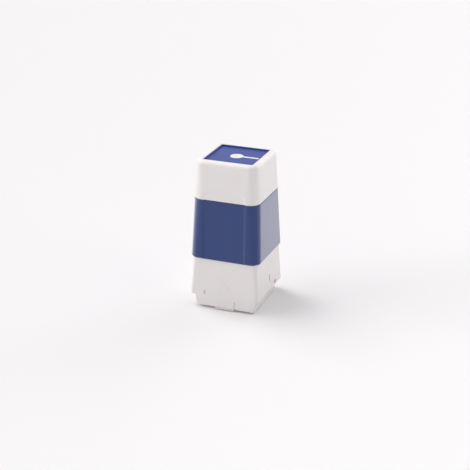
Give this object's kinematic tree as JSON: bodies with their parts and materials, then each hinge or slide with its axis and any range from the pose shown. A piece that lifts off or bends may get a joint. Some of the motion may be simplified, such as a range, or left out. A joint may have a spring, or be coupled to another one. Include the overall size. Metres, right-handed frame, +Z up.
{
  "type": "pre-inked stamp",
  "caption": "Square pre-inked hand stamp: coloured grip sleeve, spring-returned skirt round a porous die, and a pull-off protective cap.",
  "frame": {"origin": "middle of the protective cap's underside, on the surface that the stamp stands on", "axes": "+Z up along the stamp's length and press direction; -Y the front, with the embossed arrow mark; +X the stamp's right, where the index bar on top points"},
  "size_m": [0.03, 0.0306, 0.0625],
  "materials": {
    "handle_cover": "satin white",
    "label_plate": "blue",
    "grip_sleeve": "satin dark blue",
    "grip_core": "moulded off-white",
    "stem": "natural acetal",
    "stem_screw": "zinc plated",
    "screw_washer": "zinc plated",
    "stop_clip": "spring steel",
    "spring_seat": "zinc plated",
    "return_spring": "drawn spring wire",
    "skirt": "satin white",
    "stem_bush": "natural acetal",
    "die_holder": "moulded pale grey",
    "ink_port_plugs": "black elastomer",
    "ink_pad": "ink-soaked felt",
    "stamp_die": "ink-soaked porous foam",
    "die_frame": "moulded pale grey",
    "protective_cap": "satin translucent white"
  },
  "bodies": {
    "cap": {"protective_cap": "protective_cap"},
    "skirt": {"skirt": "skirt", "stem_bush": "stem_bush", "spring_seat": "spring_seat", "return_spring": "return_spring"},
    "grip": {"handle_cover": "handle_cover", "label_plate": "label_plate", "grip_sleeve": "grip_sleeve", "grip_core": "grip_core", "stem": "stem", "stem_screw": "stem_screw", "screw_washer": "screw_washer", "stop_clip": "stop_clip", "die_holder": "die_holder", "ink_port_plugs": "ink_port_plugs", "ink_pad": "ink_pad", "stamp_die": "stamp_die", "die_frame": "die_frame"}
  },
  "joints": [
    {"name": "cap_pull", "type": "slide", "parent": "cap", "child": "skirt", "axis": [0, 0, 1], "range_m": [0, 0.012]},
    {"name": "grip_press", "type": "slide", "parent": "skirt", "child": "grip", "axis": [0, 0, -1], "range_m": [0, 0.004], "stiffness_N_per_m": 500, "springref_m": -0.004, "deforming": ["return_spring"]}
  ]
}
